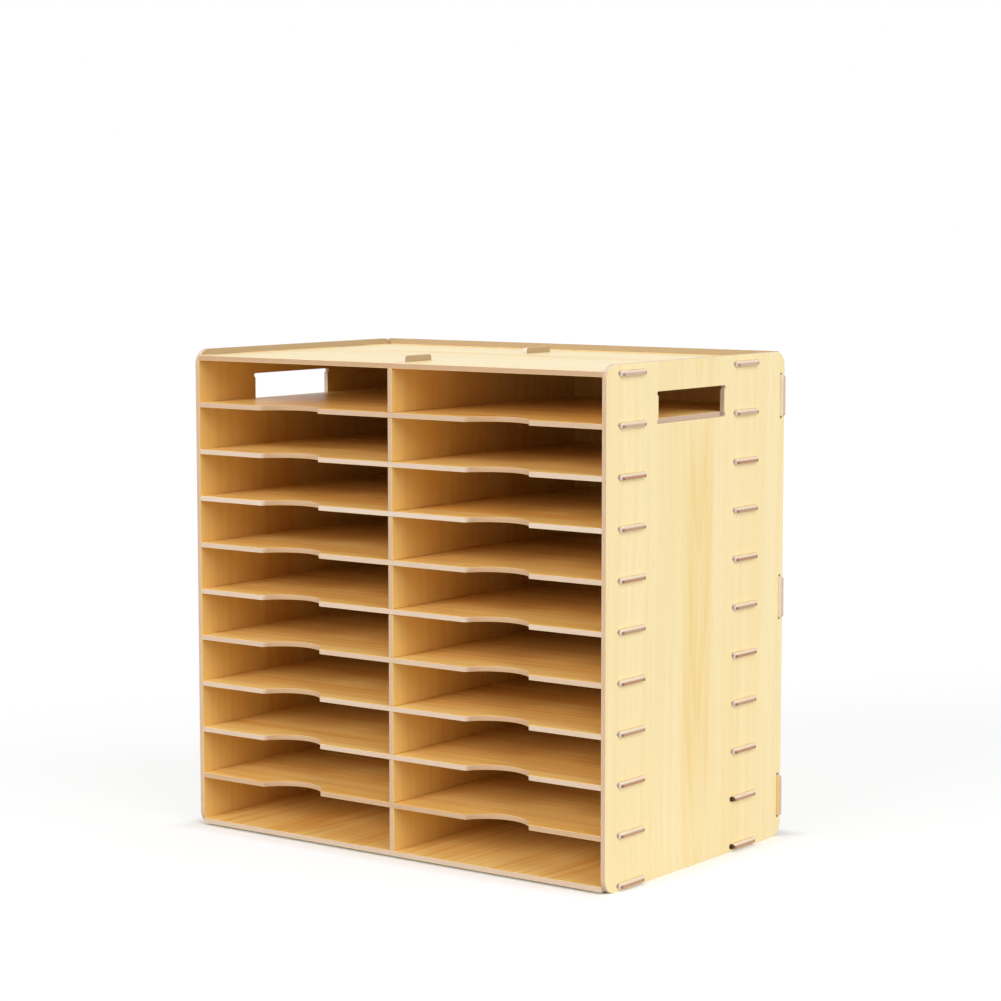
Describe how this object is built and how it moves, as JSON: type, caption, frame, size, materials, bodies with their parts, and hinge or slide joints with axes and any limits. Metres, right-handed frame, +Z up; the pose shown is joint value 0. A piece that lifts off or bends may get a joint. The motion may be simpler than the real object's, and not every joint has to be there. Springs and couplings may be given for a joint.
{
  "type": "magazine holder",
  "caption": "Open-fronted board sorter: side-by-side columns of shallow shelves with finger notches, slotted together by through tenons, for magazines and papers.",
  "frame": {"origin": "on the floor, under the middle of the whole holder", "axes": "+X to the right seen from the open front, +Y from the front to the back, +Z up"},
  "size_m": [0.507, 0.312, 0.486],
  "materials": {
    "veneered_board": "pale veneer on both faces with a satin clear coat, bare pinkish-beige sawn edges"
  },
  "bodies": {
    "root": {"left_side_panel": "veneered_board", "right_side_panel": "veneered_board", "top_board": "veneered_board", "bottom_board": "veneered_board", "centre_divider": "veneered_board", "back_panel": "veneered_board", "shelf_1": "veneered_board", "shelf_2": "veneered_board", "shelf_3": "veneered_board", "shelf_4": "veneered_board", "shelf_5": "veneered_board", "shelf_6": "veneered_board", "shelf_7": "veneered_board", "shelf_8": "veneered_board", "shelf_9": "veneered_board"}
  },
  "joints": []
}
